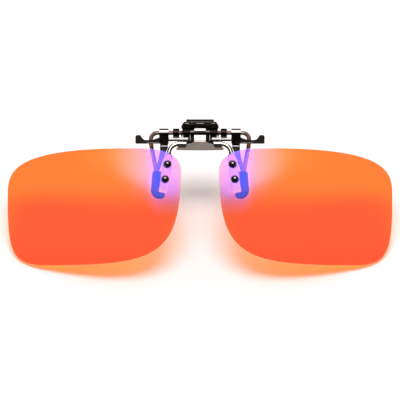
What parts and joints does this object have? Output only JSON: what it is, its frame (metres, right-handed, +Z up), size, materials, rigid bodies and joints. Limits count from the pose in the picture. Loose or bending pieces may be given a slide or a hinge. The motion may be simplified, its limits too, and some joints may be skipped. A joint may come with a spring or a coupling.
{
  "type": "flip-up clip-on sunglasses",
  "caption": "Rimless flip-up clip-on sun lenses on a hinged bridge, carried by a sprung four-pad clamp that grips a pair of spectacles.",
  "frame": {"origin": "middle of the four gripping pads, in the plane of the gripped spectacle lenses", "axes": "+X towards the wearer's left, -Y the front, +Z up, with the lenses down"},
  "size_m": [0.1332, 0.0121, 0.0507],
  "materials": {
    "dark_plate": "black nickel plated steel, polished",
    "black_block": "black nickel plated, polished",
    "axle_steel": "black nickel plated round wire with a brown cast",
    "taupe_plate": "satin gunmetal",
    "bright_steel": "polished",
    "spring_steel": "hard drawn spring wire",
    "pad_rubber": "soft sleeve",
    "tinted_lens": "orange tinted lens with a violet mirror coat"
  },
  "bodies": {
    "front_clamp": {"front_plate": "dark_plate", "knuckle_left": "black_block", "knuckle_right": "black_block", "rest_bar_left": "dark_plate", "rest_bar_right": "dark_plate", "front_leg_left": "dark_plate", "front_leg_right": "dark_plate", "front_sleeve_left": "pad_rubber", "front_sleeve_right": "pad_rubber", "torsion_spring_left": "spring_steel", "torsion_spring_right": "spring_steel", "detent_leaves": "spring_steel"},
    "rear_jaw": {"axle_wire": "axle_steel", "rear_lever": "dark_plate", "rear_sleeve_left": "pad_rubber", "rear_sleeve_right": "pad_rubber"},
    "flip_unit": {"flip_bridge": "taupe_plate", "ferrule_left": "bright_steel", "ferrule_right": "bright_steel", "lens_arm_left": "bright_steel", "lens_arm_right": "bright_steel", "lens_left": "tinted_lens", "lens_right": "tinted_lens", "rivets_left": "black_block", "rivets_right": "black_block"}
  },
  "joints": [
    {"name": "squeeze_hinge", "type": "hinge", "parent": "front_clamp", "child": "rear_jaw", "pos_m": [0, -0.003, 0.0181], "axis": [1, 0, 0], "range_deg": [0, 22], "stiffness_Nm_per_rad": 0.02, "springref_deg": -20.05, "deforming": ["torsion_spring_left", "torsion_spring_right"]},
    {"name": "flip_hinge", "type": "hinge", "parent": "front_clamp", "child": "flip_unit", "pos_m": [0, -0.003, 0.0181], "axis": [-1, 0, 0], "range_deg": [0, 100], "deforming": ["detent_leaves"]}
  ]
}
